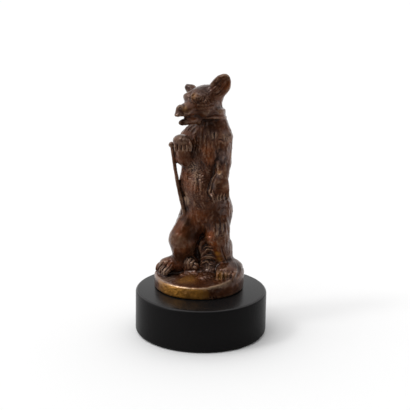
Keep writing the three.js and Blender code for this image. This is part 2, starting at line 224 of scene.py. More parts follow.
def nearPath(points, tree, path, places, reach):
    # the points near the places, how far each is from the path, and how far along it from 0 to 1
    found = set()
    for place in places:
        found.update(hit[1] for hit in tree.find_range(place, reach))
    near = np.fromiter(found, int)
    away = np.full(len(near), np.inf)
    along = np.zeros(len(near))
    count = len(path) - 1
    for n in range(count):
        gap, share = distanceTo(points[near], path[n], path[n + 1])
        closer = gap < away
        away[closer] = gap[closer]
        along[closer] = (n + share[closer]) / count
    return near, away, along


# Bear: the casting's own form, evened out, with its finer forms modelled onto it

bearValues = {
    "evenGrain": 0.55,
    "evenRounds": 7,
    "fineGrain": 0.3,
    "fineRounds": 2,
    "mostTriangles": 194000,
}

headValues = {
    "skull": (-0.2, 4.8, 137.2),
    "turn": 44,
    "lift": -3,
    "tilt": 6,
    "nose": ((0, 18.6, -0.5), (2.3, 1.8, 1.6)),
    "upperLip": ((0, 21.1, -4.2), (2.2, 2.2, 1.3)),
    "chin": ((0, 17.4, -9.2), (2.5, 3.2, 1.8)),
}
headWay = bearing(headValues["turn"], headValues["lift"], headValues["tilt"])
farEarValues = {
    "front": ([(-6.4, 9.8, 140.4), (-8.6, 10.9, 142.4), (-10.7, 11, 143.8)], [3.2, 2.6, 1.2]),
    "back": ([(-5.6, 9.8, 140.6), (-7.2, 10.7, 142.6), (-8.3, 10.8, 143.9)], [3, 2.4, 1.3]),
    "middle": ((-8.2, 10.4, 142.3), (2.9, 1.7, 1.7)),
}


def headSpot(side, front, up):
    skull = Vector(headValues["skull"])
    return tuple(skull + headWay[0] * side + headWay[1] * front + headWay[2] * up)


def headPieces():
    face = [headValues[name] for name in ("nose", "upperLip", "chin")]
    pieces = [ball(headSpot(*place), size, headWay) for place, size in face]
    pieces += [strand(*farEarValues[name]) for name in ("front", "back")]
    return pieces + [ball(*farEarValues["middle"])]


earValues = {
    "root": (3.6, 2.8, 139.6),
    "tip": (13.4, 0.2, 152.6),
    "faces": (0.15, -0.97, 0.1),
    "width": 9.8,
    "depth": 3.2,
    "hollow": 0.34,
    "steepness": 0.6,
    "rim": 0.8,
    "grid": (48, 24),
}


def cuppedEar():
    # a flattened ball with its front pressed in, which leaves a rounded rim
    root, tip = Vector(earValues["root"]), Vector(earValues["tip"])
    piece = sphere(*earValues["grid"])
    for v in piece.data.vertices:
        x, y, z = v.co / mm
        if y > 0:
            pressed = max(0, 1 - (x * x + z * z) / earValues["rim"]) ** earValues["steepness"]
            v.co.y = (y - earValues["hollow"] * pressed) * mm
    size = (earValues["width"] / 2, earValues["depth"], (tip - root).length / 2)
    return layOut(piece, (root + tip) / 2, size, facing(earValues["faces"], tip - root))


toeValues = {
    "count": 5,
    "knuckle": 0.45,
}
pawValues = {
    "rightHand": {
        "roots": [(-15.6, -5.6, 114.4), (-7.4, -8, 115)],
        "tips": [(-15.4, -7.6, 109.8), (-7, -9.4, 110.6)],
        "thick": [1.1, 1.1, 0.75],
        "arch": (0, -0.35, 0.1),
    },
    "leftHand": {
        "roots": [(6, -6.4, 85.6), (14.2, -5.6, 87.2)],
        "tips": [(7, -7.2, 79.6), (14.2, -6.2, 82.6)],
        "thick": [0.9, 0.8, 0.35],
        "arch": (-0.3, -0.7, -0.2),
    },
    "rightFoot": {
        "roots": [(-22.6, 9, 37.2), (-18.6, 1, 37)],
        "tips": [(-26.8, 7.2, 34), (-22, -2.6, 34)],
        "thick": [1.7, 1.4, 0.5],
        "arch": (-0.6, -0.4, 1),
    },
    "leftFoot": {
        "roots": [(10, -6.8, 37.8), (19.2, -7.2, 38.2)],
        "tips": [(8.8, -10.6, 34), (18, -11.6, 34.2)],
        "thick": [1.4, 1.2, 0.45],
        "arch": (0, -0.6, 1.1),
    },
}


def toesOf(paw):
    # the root and the tip of each toe or finger
    shares = [n / (toeValues["count"] - 1) for n in range(toeValues["count"])]
    return [(between(*paw["roots"], share), between(*paw["tips"], share)) for share in shares]


def pawPieces():
    pieces = []
    for paw in pawValues.values():
        for root, tip in toesOf(paw):
            knuckle = between(root, tip, toeValues["knuckle"])
            middle = tuple(v + a for v, a in zip(knuckle, paw["arch"]))
            pieces.append(strand([root, middle, tip], paw["thick"]))
    return pieces


staffValues = {
    "path": [
        (-18, -0.5, 112), (-16.6, 0, 103), (-15.2, 0.6, 94), (-13.2, 0.6, 83.5),
        (-10.4, 0.4, 72), (-6.6, 2.4, 58), (-5.4, 3.6, 44),
    ],
    "radius": 1.15,
    "steps": 8,
    "knob": 1.75,
    "behind": ((-8.3, 3.2, 79), (3.4, 3.8, 10)),
}


def staffPieces():
    # the rod, its knob, and the flank that fills the gap behind it
    rod = strand(staffValues["path"], [staffValues["radius"]], staffValues["steps"])
    return [rod, ball(staffValues["path"][0], (staffValues["knob"],) * 3), ball(*staffValues["behind"])]


collarValues = {
    "centre": (3.2, 6.2, 129.2),
    "tilt": 9,
    "radius": 9.5,
    "height": 5.4,
    "rim": 0.5,
}


def collarRim():
    # the rounded lower edge of the collar
    putDown()
    bpy.ops.mesh.primitive_torus_add(
        major_radius=collarValues["radius"] * mm, minor_radius=collarValues["rim"] * mm,
        major_segments=72, minor_segments=10)
    piece = bpy.context.object
    middle = Matrix.Translation(Vector(collarValues["centre"]) * mm)
    tilt = Matrix.Rotation(math.radians(-collarValues["tilt"]), 4, "X")
    level = collarValues["rim"] - collarValues["height"] / 2
    piece.matrix_world = middle @ tilt @ Matrix.Translation((0, 0, level * mm))
    settle(piece)
    return piece


tuftValues = {
    "heart": ((-6.3, 0.2, 39.4), (3.4, 2.3, 4.6)),
    "droop": ((-3.2, -0.4, 37.6), (2.6, 2.1, 2.8)),
    "leaves": [
        [(-8.8, -0.6, 37), (-9.2, -1, 41), (-7.8, -1.2, 44.2)],
        [(-7, -1.2, 37), (-7.6, -2, 41.2), (-6, -1.4, 44.4)],
        [(-5.2, -1.2, 36.6), (-5.8, -2.2, 40.6), (-3.9, -1.6, 43.2)],
        [(-4.6, -1.4, 40.6), (-2.7, -2.3, 40.2), (-1.5, -2, 37.2)],
        [(-5, -1.6, 38.4), (-3.4, -2.6, 37.8), (-2.6, -2.3, 35.4)],
    ],
    "thick": [0.9, 1.1, 0.6],
}
groundMounds = [
    ((-3.6, 0.6, 31), (8, 6, 5.2)),
    ((4, -3.6, 31), (8, 7, 4.8)),
    ((-8, 1, 31), (6, 5, 4.2)),
]
# The ground is evened out at its level, between left and right and between front and back.
# Its swells begin and end at a level and over a height.
groundValues = {
    "level": 34.2,
    "depth": 2.2,
    "left": -12,
    "right": 8.6,
    "sideFade": 2,
    "front": -14,
    "back": 3,
    "endFade": 3,
    "lump": ((3.9, -3.4, 38), 3.8),
    "rounds": 70,
    "swellsFrom": (29, 3),
    "swellsTo": (48, 12),
    "swells": [
        ((2.6, -5.6), (9, 5.6), 1.3),
        ((-5.6, -3.6), (6, 5), 0.9),
        ((12, -8), (5, 5), 0.6),
    ],
}


def groundPieces():
    pieces = [strand(path, tuftValues["thick"]) for path in tuftValues["leaves"]]
    return pieces + [ball(*lump) for lump in (tuftValues["heart"], tuftValues["droop"], *groundMounds)]


def softenGround(bear):
    # the tuft and the support run out softly into the ground between the feet
    points, _, edges = readMesh(bear)
    x, y, z = points.T
    values = groundValues
    level = np.exp(-((z - values["level"]) / values["depth"]) ** 4)
    side = rise(x, values["left"], values["sideFade"]) * fall(x, values["right"], values["sideFade"])
    inside = level * side * fall(y, values["back"], values["endFade"])
    inside = inside * rise(y, values["front"], values["endFade"])
    middle, reach = values["lump"]
    lump = np.exp(-(gapTo(points, middle) / reach) ** 4)
    share = np.maximum(inside, lump)[:, None]
    points += (evened(points, edges, values["rounds"]) - points) * share
    low = rise(z, *values["swellsFrom"]) * fall(z, *values["swellsTo"])
    for (across, along), (wide, long), lift in values["swells"]:
        z += lift * low * np.exp(-((x - across) / wide) ** 2 - ((y - along) / long) ** 2)
    writePoints(bear, points)


def castBear():
    putDown()
    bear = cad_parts["bear"].copy()
    bear.data = bear.data.copy()
    bear.name = "bearCasting"
    bear.parent = None
    for key in list(bear.keys()):
        del bear[key]
    scene.collection.objects.link(bear)
    takeUp(bear)
    bpy.ops.object.mode_set(mode="EDIT")
    bpy.ops.mesh.select_all(action="SELECT")
    bpy.ops.mesh.remove_doubles(threshold=0.001 * mm)
    bpy.ops.object.mode_set(mode="OBJECT")
    evenOut(bear, bearValues["evenGrain"], bearValues["evenRounds"])
    pieces = headPieces() + pawPieces() + groundPieces() + [cuppedEar()] + staffPieces()
    bear = joinTo(bear, pieces + [collarRim()])
    evenOut(bear, bearValues["fineGrain"], bearValues["fineRounds"])
    softenGround(bear)
    print("bear: cast,", len(bear.data.vertices), "points")
    return bear


# Fur: tapered locks laid over each other from below upwards, as they lie on the skin.
# Each spot says how the coat lies around it: its place and reach, the length, half width and lift
# of a lock, and the lock's way.

down = (0, 0, -1)
backOfHead = tuple(-v for v in headWay[1])
cheekWay = tuple(a - b for a, b in zip(headSpot(0, -1, -0.6), headValues["skull"]))
coatSpots = {
    "throat": ((-1, -3, 121), 6, (4, 1.2, 0.28), (0.1, 0, -1)),
    "chest": ((2, -5, 113), 8, (4.6, 1.3, 0.4), (0.15, 0, -1)),
    "breast": ((-2, -6, 105), 7, (3.2, 1, 0.26), (0.3, 0, -1)),
    "belly": ((-3, -6, 95), 9, (2.2, 0.8, 0.22), (0.25, 0, -1)),
    "lowerBelly": ((-2, -6, 83), 8, (2.6, 0.9, 0.08), (0.2, 0, -1)),
    "groin": ((0, -3, 72), 8, (3.4, 0.7, 0.16), down),
    "leftBreast": ((8, -4, 108), 7, (6, 1.5, 0.5), (0, 0, -1)),
    "leftShoulder": ((12, 0, 119), 7, (6.5, 1.6, 0.4), (0.1, 0, -1)),
    "leftArm": ((15, 0, 106), 7, (5, 1.5, 0.05), down),
    "leftWrist": ((12, -6, 97), 5, (3.4, 1.2, 0.14), down),
    "leftPalm": ((10, -8, 89), 5, (2.4, 0.7, 0.14), down),
    "leftSide": ((14, 4, 84), 8, (5, 1.4, 0.22), down),
    "leftThigh": ((12, -6, 64), 8, (8, 1.6, 0.5), (-0.05, 0, -1)),
    "leftHip": ((8, -5, 76), 6, (4, 1.2, 0.05), down),
    "leftKnee": ((10, -6, 52), 6, (5, 1.1, 0.2), down),
    "leftShin": ((16, 2, 46), 6, (5, 1, 0.2), down),
    "leftFoot": ((16, -2, 39), 5, (3.5, 0.9, 0.07), (0, -1, -0.2)),
    "rightShoulder": ((-10, 2, 120), 6, (5, 1, 0.28), down),
    "rightPaw": ((-12, -6, 116), 6, (3, 0.8, 0.12), (0, -0.5, -1)),
    "rightForearm": ((-13, -2, 106), 6, (3.5, 0.8, 0.08), down),
    "rightThigh": ((-9, -2, 64), 7, (4.5, 0.9, 0.07), (-0.3, 0, -1)),
    "rightShin": ((-13, 0, 50), 7, (5, 1, 0.06), down),
    "rightFoot": ((-17, 5, 41), 5, (4, 0.9, 0.14), (-0.8, -0.5, -0.3)),
    "forehead": (headSpot(1, 6, 6), 5, (2.6, 0.6, 0.07), backOfHead),
    "brow": (headSpot(6, 8, 4), 4, (2.6, 0.6, 0.12), backOfHead),
    "muzzle": (headSpot(0, 15, -1), 5, (2, 0.5, 0.08), backOfHead),
    "cheek": (headSpot(7, 4, -3), 5, (3.4, 0.7, 0.08), cheekWay),
    "farCheek": (headSpot(-7, 4, -3), 6, (4, 0.8, 0.2), cheekWay),
    "crown": (headSpot(0, -4, 8), 6, (4, 0.9, 0.1), backOfHead),
    "nape": (headSpot(0, -10, -2), 7, (6, 1.1, 0.3), down),
    "nearEar": ((10, -1, 148), 6, (3, 0.7, 0.16), (0.6, 0, 0.8)),
    "shoulders": ((4, 18, 118), 9, (8, 1.4, 0.45), down),
    "back": ((2, 20, 98), 12, (8, 1.4, 0.42), down),
    "loins": ((3, 22, 76), 10, (8, 1.4, 0.42), down),
    "rightFlank": ((-14, 8, 92), 9, (6, 1.1, 0.3), down),
    "rightHip": ((-10, 14, 74), 8, (6.5, 1.2, 0.32), down),
    "hocks": ((2, 16, 52), 9, (6, 1.2, 0.35), down),
}


def coatAt(points):
    # the lock and its way at each point, blended from the nearby spots
    total = np.zeros(len(points))
    lock = np.zeros((len(points), 3))
    way = np.zeros((len(points), 3))
    for place, reach, spotLock, spotWay in coatSpots.values():
        gap = gapTo(points, place) / reach
        weight = np.exp(-gap * gap) + tiny / (1 + gap ** 4)
        total += weight
        lock += weight[:, None] * np.array(spotLock)
        direction = np.array(spotWay, float)
        way += weight[:, None] * direction / np.linalg.norm(direction)
    return lock / total[:, None], way / lengths(way)


# Where there is no fur: spots with their reach, and margins around the collar, staff and toes
bareSpots = [
    (headSpot(0, 20, -1), 3.2),
    (headSpot(0, 17, -7), 3.2),
    ((4.6, -1.5, 49), 5.5),
    ((12, -8, 34.5), 4),
    ((4.6, -2, 41), 6.5),
    ((4.6, -2.5, 36), 6.5),
    ((-5.6, 0.5, 40), 6),
    ((9.4, -8, 88), 6.5),
]
bareValues = {
    "floor": 34.5,
    "insideCollar": 8,
    "collarMargin": 0.3,
    "staffMargin": 0.5,
    "toeMargin": 0.4,
}


def bareAt(points):
    # 1 where there is no fur: the ground, the collar, the staff, the nose and mouth, the claws
    bare = np.zeros(len(points))
    tilt = math.radians(collarValues["tilt"])
    axis = np.array([0, math.sin(tilt), math.cos(tilt)])
    offset = points - np.array(collarValues["centre"])
    level = offset @ axis
    out = np.linalg.norm(offset - level[:, None] * axis, axis=1)
    collarHalf = collarValues["height"] / 2 + bareValues["collarMargin"]
    bare[(np.abs(level) < collarHalf) & (out > bareValues["insideCollar"])] = 1
    bare[points[:, 2] < bareValues["floor"]] = 1
    staffReach = staffValues["radius"] + bareValues["staffMargin"]
    smooth = [(*ends, staffReach) for ends in zip(staffValues["path"], staffValues["path"][1:])]
    for paw in pawValues.values():
        smooth += [(*ends, paw["thick"][0] + bareValues["toeMargin"]) for ends in toesOf(paw)]
    for start, end, reach in smooth:
        bare[distanceTo(points, np.array(start), np.array(end))[0] < reach] = 1
    for spot, reach in bareSpots:
        bare[gapTo(points, spot) < reach] = 1
    return bare


# Locks are laid from the lowest up, and those on the head last. The values from tipEnd to rootFade
# shape a lock.
furValues = {
    "cover": 1.5,
    "seed": 11,
    "knots": 6,
    "fullness": 1.3,
    "headFrom": 130,
    "headAfter": 100,
    "skullLevel": 137,
    "leastSize": 0.75,
    "sizeSpread": 0.5,
    "swing": 0.5,
    "margin": 0.3,
    "tipEnd": 1.02,
    "rootWidth": 0.45,
    "widening": 1.6,
    "thinnest": 0.05,
    "rootLift": 0.15,
    "liftPower": 0.7,
    "roundness": 0.8,
    "edge": 1.05,
    "edgeFade": 0.3,
    "rootFade": 0.12,
    "facingFade": 0.5,
    "bareRounds": 3,
}


def lockForm(away, along, wide, lift):
    # the height of a lock and how well it covers what lies under it
    values = furValues
    width = wide * np.sqrt(fall(along, values["tipEnd"], 1))
    width = width * np.clip(values["rootWidth"] + values["widening"] * along, 0, 1)
    across = away / np.maximum(width, values["thinnest"])
    rising = values["rootLift"] + (1 - values["rootLift"]) * along ** values["liftPower"]
    form = lift * rising * np.sqrt(np.clip(1 - across * across * values["roundness"], 0, 1))
    return form, fall(across, values["edge"], values["edgeFade"]) * rise(along, 0, values["rootFade"])


def layFur(points, normals, edges):
    values = furValues
    random = np.random.default_rng(values["seed"])
    lock, way = coatAt(points)
    bare = bareAt(points)
    way = way - np.sum(way * normals, axis=1)[:, None] * normals
    way /= lengths(way)
    tree = treeOf(points)
    grain = bearValues["fineGrain"]
    chance = values["cover"] * grain * grain / (lock[:, 0] * lock[:, 1] * values["fullness"])
    starts = np.flatnonzero((random.random(len(points)) < chance) & (bare < 0.5))
    level = points[starts, 2]
    offset = points - np.array(headValues["skull"])
    order = values["headAfter"] - np.sum(offset[starts] * way[starts], axis=1)
    order = np.where(level > values["headFrom"], order, level - values["skullLevel"])
    height = np.zeros(len(points))
    knots = values["knots"]
    for start in starts[np.argsort(order, kind="stable")]:
        size = values["leastSize"] + values["sizeSpread"] * random.random(3)
        long, wide, lift = lock[start] * size
        swing = values["swing"] * (random.random() - 0.5)
        path = [points[start]]
        index = start
        for n in range(knots):
            swerve = swing * np.cross(normals[index], way[index]) * math.sin(math.pi * n / knots)
            target = path[-1] + (way[index] + swerve) * long / knots
            index = tree.find(target)[1]
            path.append(points[index])
        path = np.array(path)
        reach = wide + long / knots + values["margin"]
        near, away, along = nearPath(points, tree, path, path[::2], reach)
        form, cover = lockForm(away, along, wide, lift)
        cover *= rise(normals[near] @ normals[start], 0, values["facingFade"])
        height[near] += (form - height[near]) * cover
    height *= 1 - evened(bare, edges, values["bareRounds"])
    print("bear: fur,", len(starts), "locks")
    return height


# The view of the photo, which is also the camera's
photoView = {
    "lens": 137.66,
    "sensor": 36,
    "pixels": 410,
    "aim": (1.5, 0, 76.37),
    "distance": 900,
    "nearest": 10,
    "pitch": 17.02,
    "roll": 0.9,
}

# Lines modelled on the bear: half width, lift (a groove is below 0), and the places that
# they pass in the photo, as pixels from its left and upper edges
drawnLines = {
    "browCurl": (0.8, 0.5, [(197, 91), (193.5, 93), (191.8, 97), (192.5, 101), (195, 103.5)]),
    "eye": (0.6, -0.6, [(198.3, 98.7), (199.7, 99.1)]),
    "browWave": (0.7, 0.4, [
        (200.5, 97), (202.5, 99.5), (203, 102), (205.5, 101), (206.5, 98.5), (209, 98.8),
    ]),
    "underEye": (0.6, -0.3, [(197.5, 102.8), (201, 104.2)]),
    "foreheadCrease": (0.6, -0.2, [(194.5, 88.5), (191.5, 91.5), (190, 95), (190, 100), (191.5, 104)]),
    "cheekUpper": (0.6, -0.22, [(196, 107), (204, 106.5), (213, 105)]),
    "cheekLower": (0.6, -0.2, [(193, 111), (203, 110), (214, 109)]),
    "cheekTuft": (0.7, 0.25, [(206, 102.8), (214, 101.6), (219, 103)]),
    "nostril": (0.6, -0.6, [(179.4, 107.4), (180.5, 108.4)]),
    "lipLine": (0.5, -0.22, [(180.5, 112.2), (184, 114), (188, 116.3), (191.5, 118.6)]),
    "muzzleStep": (0.8, -0.3, [(182.8, 103.5), (184.5, 106), (184, 110)]),
    "earFrontGroove": (0.5, -0.16, [(214, 88), (218, 83), (223, 78)]),
    "earMiddleGroove": (0.5, -0.16, [(217, 90), (222, 84), (226, 79)]),
    "earBackGroove": (0.5, -0.16, [(220, 92), (225, 86), (228, 81)]),
    "earTuft": (0.6, 0.45, [(216.5, 93), (219, 90.5)]),
    "earHair": (0.6, 0.35, [(213, 90), (216, 86)]),
    "earFold": (0.9, -0.35, [(213, 96), (218, 94), (222, 90)]),
    "throatLight": (0.9, 0.5, [(196.5, 126), (193, 129), (190, 132.5)]),
    "throatDark": (0.7, -0.5, [(193.5, 125.5), (189.5, 129), (187.5, 131.5)]),
    "throatFar": (0.8, 0.4, [(190, 124.8), (186.5, 127.5), (184.5, 131)]),
    "throatLow": (0.8, 0.35, [(199, 128), (196, 132), (192, 135)]),
    "chestTuftLeft": (0.8, 0.5, [(212.5, 131), (212.6, 135), (213.4, 139.5)]),
    "chestTuftRight": (0.8, 0.5, [(216, 131.5), (216.4, 135), (215.6, 139)]),
    "chestSlit": (0.5, -0.5, [(214.6, 132.5), (213.8, 136.5)]),
    "shoulderFlap": (1.2, 0.5, [(218.5, 127), (221, 131), (223.5, 136), (223.8, 139)]),
    "shoulderShade": (0.9, -0.3, [(218.4, 139.6), (221.5, 140), (224.2, 141.2)]),
    "chestLockA": (1, 0.35, [(201, 130), (201.5, 138), (200, 146), (199, 153)]),
    "chestLockB": (1.1, 0.4, [(205, 131), (205.2, 140), (204.6, 150), (203, 158)]),
    "chestLockC": (1.1, 0.4, [(209, 128), (210.1, 138), (208.5, 148.4), (209.4, 158.6)]),
    "chestGroove": (0.7, -0.3, [(207.5, 133.8), (206.4, 142.4), (207.1, 149.8)]),
    "chestLockD": (1.1, 0.45, [(212, 142), (212.5, 152), (211, 163), (211.5, 172)]),
    "chestLockE": (0.8, 0.35, [(215, 142), (214.2, 150), (214.6, 158)]),
    "chestFarGroove": (0.8, -0.3, [(196, 134), (196.3, 142), (195.2, 150)]),
    "bellyLock": (0.8, 0.5, [(195.6, 176), (195.8, 184), (195, 193)]),
    "bellyGroove": (0.6, -0.3, [(197.9, 178.7), (198.4, 186), (199.5, 192.5)]),
    "bellyMiddle": (0.7, 0.3, [(200.6, 180), (201.2, 187), (200.2, 192)]),
    "chestLockF": (1, 0.35, [(209, 159.8), (207.5, 167.4), (208.5, 175.5)]),
    "handEdge": (0.9, 0.9, [
        (217.7, 169.3), (215.8, 175), (212.9, 180.3), (210.1, 190),
        (209.7, 193), (211.7, 195.4), (214.2, 201.3),
    ]),
    "handThumb": (0.7, 0.5, [(212.3, 189.3), (213.1, 193), (214.7, 197)]),
    "wrist": (1.3, 0.6, [(218.5, 174), (221, 176.5), (223, 178)]),
    "handShade": (0.6, -0.35, [
        (214.1, 172.8), (210.4, 180.2), (207.7, 189.3), (207.7, 194.3), (210.7, 199.6),
    ]),
    "handFar": (0.7, 0.7, [(228.6, 190.5), (228.4, 194.9), (227.1, 198.9), (224.6, 201.7)]),
    "palmHollow": (2.2, -0.5, [(217.8, 183), (219.6, 187.5), (220, 190.2)]),
    "fingerA": (0.7, 0.7, [(214.7, 194.8), (215.4, 199), (216.3, 202)]),
    "fingerB": (0.65, 0.7, [(218.8, 193.8), (217.5, 198), (218, 201.4)]),
    "fingerC": (0.65, 0.7, [(221.9, 193.3), (220.4, 197.2), (219.9, 200.6)]),
    "fingerD": (0.6, 0.6, [(224.8, 193), (223.5, 196.8), (222.3, 200.3)]),
    "toeSlotA": (0.45, -0.6, [(177.6, 144.5), (177.6, 150.5)]),
    "toeSlotB": (0.45, -0.6, [(181.3, 145), (181.2, 151)]),
    "toeSlotC": (0.45, -0.6, [(185.4, 145), (185.4, 151)]),
    "toeSlotD": (0.45, -0.6, [(189.2, 144.5), (189, 151)]),
    "pawLock": (0.7, 0.45, [(188.5, 138), (190, 142), (192, 146.5)]),
    "pawSide": (0.6, 0.35, [(192.6, 141), (194, 146), (193.4, 151)]),
    "navelCurl": (0.5, 0.35, [(200.5, 205.5), (203, 207), (202, 209.4)]),
    "navelHair": (0.5, 0.3, [(196.6, 207.5), (199.4, 209.8)]),
    "groinLockA": (0.8, 0.2, [(210, 213), (206.5, 218), (205.5, 223)]),
    "groinLockB": (0.8, 0.2, [(214, 214), (211, 219), (208.5, 226)]),
    "groinLockC": (0.8, 0.18, [(203, 212), (200, 218), (199.5, 225)]),
    "groinLockD": (0.8, 0.18, [(196.5, 211), (197.2, 218), (198.8, 224)]),
    "groinLockE": (0.8, 0.18, [(193, 213), (194.5, 221), (196, 228)]),
    "thighLockA": (0.9, 0.7, [(216.8, 222), (217.6, 229), (217, 237)]),
    "thighGrooveA": (0.7, -0.5, [(219.6, 218), (220.3, 225), (219.6, 231)]),
    "thighLockB": (0.9, 0.7, [(222, 222), (222.4, 229), (221.8, 234.5)]),
    "thighHook": (0.6, -0.6, [(220.8, 235.4), (222.4, 236.2), (223.6, 234.8)]),
    "thighLockC": (0.8, 0.45, [(225.2, 220), (225.6, 229), (226.2, 238)]),
    "thighSlot": (0.7, -0.6, [(226, 239), (226.3, 244.5)]),
    "legStripe": (1.1, 0.4, [(216, 238), (218, 245), (218.8, 252), (221, 260), (223.5, 266)]),
    "legGroove": (0.7, -0.35, [(220.5, 243), (222.4, 251), (224.8, 258), (227, 262)]),
    "ridgeTop": (0.9, 0.5, [(200, 243), (203, 239), (208, 237), (212.5, 239.5)]),
    "ridgeTwo": (0.6, 0.8, [(203, 250.5), (205, 247.2), (209, 246.2), (213, 247.6)]),
    "ringTop": (0.55, 0.8, [(205, 252), (206.5, 249.8), (210, 249), (213.4, 250.4), (214, 252.6)]),
    "ringFoot": (0.5, 0.6, [(205.6, 253.6), (209, 255), (213, 254.4)]),
    "ringPit": (0.7, -0.45, [(209, 252), (211, 252.3)]),
    "ridgeThree": (0.65, 1.1, [(200, 260.5), (203, 257.8), (208, 256.8), (213, 257.4), (215.5, 259)]),
    "ridgeShade": (0.5, -0.55, [(201, 262.2), (206, 259.8), (212, 260.2), (215, 262.2)]),
    "ridgeWaveA": (0.55, 1.1, [(200.5, 264.8), (204, 262.4), (207.5, 261.8), (209, 263.4)]),
    "ridgeWaveB": (0.55, 1.1, [(209.5, 264.6), (212.5, 264.8), (216, 267.8)]),
    "footSlotA": (0.6, -0.6, [(163.5, 262.5), (158.6, 268.5), (156.8, 271.6)]),
    "footSlotB": (0.6, -0.6, [(167.8, 263.5), (162.6, 269.8), (160.6, 272.2)]),
    "footSlotC": (0.6, -0.6, [(172, 264), (167.4, 269.8), (164.4, 272.4)]),
    "leftToeA": (0.7, 0.5, [(218.4, 272), (217.8, 277), (217.4, 281)]),
    "leftToeB": (0.7, 0.6, [(222.6, 271.5), (222, 277), (221.4, 281.5)]),
    "leftToeC": (0.7, 0.5, [(227.8, 273), (226.6, 277.5), (225.6, 280.2)]),
    "leftSlotA": (0.5, -0.5, [(220.4, 272), (219.8, 281)]),
    "leftSlotB": (0.5, -0.5, [(225, 272.5), (223.8, 281)]),
    "footLine": (0.7, 0.3, [(236, 263.5), (236.6, 270), (235.4, 275.5)]),
    "rimChipA": (0.6, -0.6, [(210.1, 297), (211.1, 299.6)]),
    "rimChipB": (0.6, -0.6, [(213.2, 297.3), (214.3, 299.4)]),
    "rimChipC": (0.5, -0.5, [(216.7, 297.6), (217.1, 299)]),
}
mirroredLines = {"eye", "underEye", "cheekUpper", "cheekLower", "cheekTuft", "nostril", "lipLine"}


def smoothWay(places, steps=4):
    # a smooth curve through the places (Catmull-Rom)
    places = [np.array(place, float) for place in places]
    places = [2 * places[0] - places[1]] + places + [2 * places[-1] - places[-2]]
    way = []
    for a, b, c, d in zip(places, places[1:], places[2:], places[3:]):
        bend = 2 * a - 5 * b + 4 * c - d
        swing = 3 * b - a - 3 * c + d
        for n in range(steps):
            t = n / steps
            way.append(0.5 * (2 * b + (c - a) * t + bend * t * t + swing * t ** 3))
    way.append(places[-2])
    return way


def photoPlace():
    pitch = math.radians(photoView["pitch"])
    back = Vector((0, -math.cos(pitch), math.sin(pitch))) * photoView["distance"]
    return (
        Matrix.Translation((Vector(photoView["aim"]) + back) * mm)
        @ Matrix.Rotation(math.pi / 2 - pitch, 4, "X")
        @ Matrix.Rotation(math.radians(photoView["roll"]), 4, "Z")
    )


def onFront(bear, pixels):
    # where the photo's lines of sight meet the bear
    place = photoPlace()
    half = photoView["pixels"] / 2
    reach = photoView["lens"] / photoView["sensor"] * photoView["pixels"]
    found = []
    for x, y in smoothWay(pixels):
        sight = place.to_3x3() @ Vector((x - half, half - y, -reach))
        hit, spot, _, _ = bear.ray_cast(place.translation, sight.normalized())
        if hit:
            found.append(np.array(spot) / mm)
    return np.array(found)


lineValues = {
    "slack": 1.1,
    "margin": 0.4,
    "endFade": 0.2,
    "endLift": 0.25,
    "clearing": 0.8,
}


def drawLine(height, points, tree, path, wide, lift):
    reach = wide * lineValues["slack"] + lineValues["margin"]
    near, away, along = nearPath(points, tree, path, path, reach)
    across = np.clip(away / wide, 0, 1)
    ends = np.clip(np.minimum(along, 1 - along) / lineValues["endFade"], lineValues["endLift"], 1)
    form = (1 - across * across) ** 2 * ends
    height[near] = height[near] * (1 - lineValues["clearing"] * form) + lift * form


def drawLines(bear, height, points):
    tree = treeOf(points)
    middle = np.array(headWay[0])
    for name, (wide, lift, places) in drawnLines.items():
        path = onFront(bear, places)
        if len(path) < 2:
            print("no surface under", name)
            continue
        drawLine(height, points, tree, path, wide, lift)
        if name in mirroredLines:
            offset = path - np.array(headValues["skull"])
            mirrored = path - 2 * (offset @ middle)[:, None] * middle
            mirrored = np.array([points[tree.find(place)[1]] for place in mirrored])
            drawLine(height, points, tree, mirrored, wide, lift)
    print("bear: drawn,", len(drawnLines), "lines")


unevenValues = {
    "wave": 2.6,
    "waveLift": 0.14,
    "curl": 0.8,
    "curlLift": 0.3,
    "curlLeast": 0.15,
}
curlSpots = {
    "belly": ((-4, -4, 96), 9, 1),
    "lowBelly": ((-2, -5, 84), 8, 0.6),
    "navel": ((-1, -4, 76), 5, 0.5),
    "brow": ((-4.5, -5, 140.5), 4, 1.5),
    "temple": ((1, -4, 139), 4.5, 1.4),
    "palm": ((9, -8, 89), 3, 0.4),
    "terrace": ((-10, -8, 33), 14, 0.6),
    "ground": ((2, -6, 34), 9, 0.8),
}


def unevenness(points):
    # the slight waves that a hand leaves in clay, and the small curls of the belly's coat
    waves, curls = (
        np.array([noise.noise(Vector(point) / unevenValues[name]) for point in points])
        for name in ("wave", "curl")
    )
    curly = unevenValues["curlLeast"] + toneAt(points, curlSpots)
    return waves * unevenValues["waveLift"] + curls * unevenValues["curlLift"] * curly


